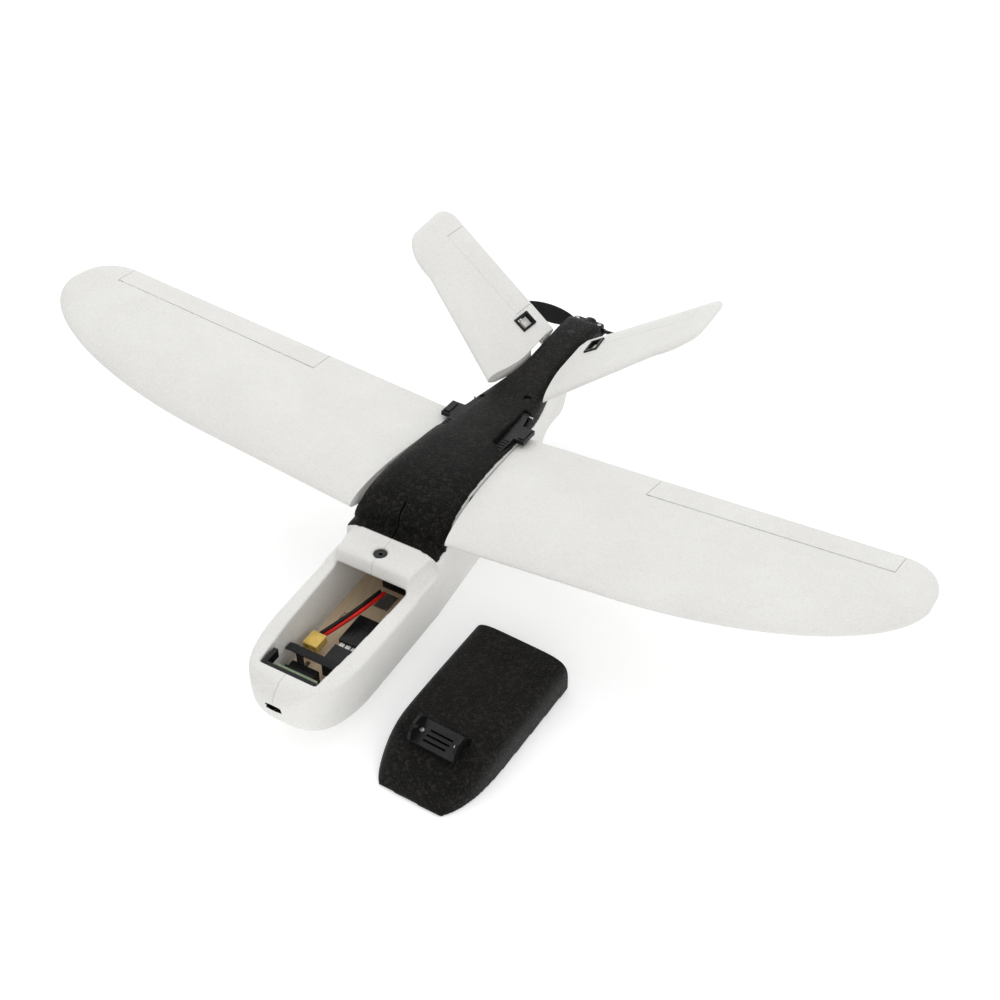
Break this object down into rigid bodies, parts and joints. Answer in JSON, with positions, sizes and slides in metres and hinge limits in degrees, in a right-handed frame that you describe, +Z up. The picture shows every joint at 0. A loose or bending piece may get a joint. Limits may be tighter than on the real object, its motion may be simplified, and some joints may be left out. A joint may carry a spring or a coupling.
{
  "type": "v-tail pusher model glider",
  "caption": "Foam v-tail model aeroplane with long tapered wings, folding pusher propeller, open equipment bay and a separate black nose hatch lying beside it.",
  "frame": {"origin": "on the floor plane, on the centreline, under the front edge of the black cover and the wing leading edge", "axes": "+X along the span to the wing on the right of the nose-down view, +Y towards the tail, +Z up"},
  "size_m": [0.8592, 0.5435, 0.1919],
  "materials": {
    "black_foam": "black moulded foam beads",
    "black_steel": "black oxide",
    "black_wire": "silicone",
    "board": "solder mask",
    "brass": "plain",
    "can_metal": "anodised dark",
    "carbon": "pultruded carbon",
    "copper_core": "varnished windings",
    "dark_plastic": "satin",
    "plywood": "raw plywood",
    "red_wire": "silicone",
    "servo_case": "translucent blue plastic",
    "steel": "satin",
    "strap": "hook and loop",
    "white_foam": "moulded foam beads",
    "white_plastic": "satin"
  },
  "bodies": {
    "airframe": {"fuselage_left": "white_foam", "fuselage_right": "white_foam", "top_cover": "black_foam", "tail_skid": "dark_plastic", "equipment_tray": "plywood", "speed_controller": "dark_plastic", "receiver": "dark_plastic", "receiver_plugs": "white_plastic", "power_module": "dark_plastic", "battery_lead_red": "red_wire", "battery_lead_black": "black_wire", "battery_connector": "brass", "battery_strap": "strap", "strap_pad": "dark_plastic", "front_catch": "dark_plastic", "camera_board": "board", "shelf_magnet": "steel", "spar_socket": "dark_plastic", "motor_mount": "dark_plastic", "motor_screws": "steel", "motor_stator": "copper_core", "latch_pins": "steel", "cover_screws": "black_steel"},
    "prop": {"motor_can": "can_metal", "prop_hub": "dark_plastic", "prop_nut": "steel", "blade_pins": "steel"},
    "blade_a": {"prop_blade_a": "dark_plastic"},
    "blade_b": {"prop_blade_b": "dark_plastic"},
    "hatch": {"hatch": "black_foam", "hatch_magnet": "steel", "hatch_screw": "dark_plastic", "camera_bracket": "dark_plastic", "bracket_screws": "steel"},
    "wing_left": {"wing_left": "white_foam", "spar_left": "carbon", "aileron_servo_left": "servo_case"},
    "aileron_left": {"aileron_left": "white_foam", "aileron_horn_left": "white_plastic"},
    "aileron_arm_left": {"aileron_arm_left": "white_plastic"},
    "pushrod_left": {"pushrod_left": "steel"},
    "fin_left": {"fin_left": "white_foam", "horn_frame_left": "dark_plastic", "tail_servo_left": "servo_case"},
    "ruddervator_left": {"ruddervator_left": "white_foam", "torque_arm_left": "white_plastic"},
    "latch_left": {"latch_left": "dark_plastic"},
    "wing_right": {"wing_right": "white_foam", "spar_right": "carbon", "aileron_servo_right": "servo_case"},
    "aileron_right": {"aileron_right": "white_foam", "aileron_horn_right": "white_plastic"},
    "aileron_arm_right": {"aileron_arm_right": "white_plastic"},
    "pushrod_right": {"pushrod_right": "steel"},
    "fin_right": {"fin_right": "white_foam", "horn_frame_right": "dark_plastic", "tail_servo_right": "servo_case"},
    "ruddervator_right": {"ruddervator_right": "white_foam", "torque_arm_right": "white_plastic"},
    "latch_right": {"latch_right": "dark_plastic"}
  },
  "joints": [
    {"name": "wing_left_pull", "type": "slide", "parent": "airframe", "child": "wing_left", "axis": [-0.9937, 0, 0.1123], "range_m": [0, 0.18]},
    {"name": "aileron_left_hinge", "type": "hinge", "parent": "wing_left", "child": "aileron_left", "pos_m": [-0.18082, 0.1216, 0.12043], "axis": [0.9932, 0.0297, -0.1123], "range_deg": [-22, 22]},
    {"name": "aileron_arm_left_turn", "type": "hinge", "parent": "wing_left", "child": "aileron_arm_left", "pos_m": [-0.18002, 0.08502, 0.11783], "axis": [0.9932, 0.0297, -0.1123], "range_deg": [-22, 22]},
    {"name": "pushrod_left_turn", "type": "hinge", "parent": "aileron_arm_left", "child": "pushrod_left", "pos_m": [-0.18142, 0.08502, 0.10541], "axis": [0.9932, 0.0297, -0.1123], "range_deg": [-22, 22]},
    {"name": "wing_right_pull", "type": "slide", "parent": "airframe", "child": "wing_right", "axis": [0.9937, 0, 0.1123], "range_m": [0, 0.18]},
    {"name": "aileron_right_hinge", "type": "hinge", "parent": "wing_right", "child": "aileron_right", "pos_m": [0.18082, 0.1216, 0.12043], "axis": [0.9932, -0.0297, 0.1123], "range_deg": [-22, 22]},
    {"name": "aileron_arm_right_turn", "type": "hinge", "parent": "wing_right", "child": "aileron_arm_right", "pos_m": [0.18002, 0.08502, 0.11783], "axis": [0.9932, -0.0297, 0.1123], "range_deg": [-22, 22]},
    {"name": "pushrod_right_turn", "type": "hinge", "parent": "aileron_arm_right", "child": "pushrod_right", "pos_m": [0.18142, 0.08502, 0.10541], "axis": [0.9932, -0.0297, 0.1123], "range_deg": [-22, 22]},
    {"name": "fin_left_pull", "type": "slide", "parent": "airframe", "child": "fin_left", "axis": [-0.829, 0, 0.5592], "range_m": [0, 0.06]},
    {"name": "ruddervator_left_hinge", "type": "hinge", "parent": "fin_left", "child": "ruddervator_left", "pos_m": [-0.03979, 0.28237, 0.11584], "axis": [0.8247, -0.1025, -0.5562], "range_deg": [-26, 26]},
    {"name": "fin_right_pull", "type": "slide", "parent": "airframe", "child": "fin_right", "axis": [0.829, 0, 0.5592], "range_m": [0, 0.06]},
    {"name": "ruddervator_right_hinge", "type": "hinge", "parent": "fin_right", "child": "ruddervator_right", "pos_m": [0.03979, 0.28237, 0.11584], "axis": [0.8247, 0.1025, 0.5562], "range_deg": [-26, 26]},
    {"name": "latch_left_lift", "type": "hinge", "parent": "airframe", "child": "latch_left", "pos_m": [0, 0.1765, 0.1042], "axis": [-1, 0, 0], "range_deg": [0, 12]},
    {"name": "latch_right_lift", "type": "hinge", "parent": "airframe", "child": "latch_right", "pos_m": [0, 0.1765, 0.1042], "axis": [-1, 0, 0], "range_deg": [0, 12]},
    {"name": "prop_spin", "type": "hinge", "parent": "airframe", "child": "prop", "pos_m": [0, 0.343, 0.088], "axis": [0, 1, 0], "continuous": true},
    {"name": "blade_a_fold", "type": "hinge", "parent": "prop", "child": "blade_a", "pos_m": [0.012, 0.343, 0.088], "axis": [0, 0, 1], "range_deg": [0, 85]},
    {"name": "blade_b_fold", "type": "hinge", "parent": "prop", "child": "blade_b", "pos_m": [-0.012, 0.343, 0.088], "axis": [0, 0, -1], "range_deg": [0, 85]},
    {"name": "hatch_carry", "type": "slide", "parent": "airframe", "child": "hatch", "axis": [-0.3066, 0, 0.9518], "range_m": [0, 0.40448]}
  ],
  "couplings": [
    {"joint": "aileron_arm_left_turn", "follows": "aileron_left_hinge", "ratio": 1},
    {"joint": "pushrod_left_turn", "follows": "aileron_left_hinge", "ratio": -1},
    {"joint": "aileron_arm_right_turn", "follows": "aileron_right_hinge", "ratio": 1},
    {"joint": "pushrod_right_turn", "follows": "aileron_right_hinge", "ratio": -1}
  ]
}
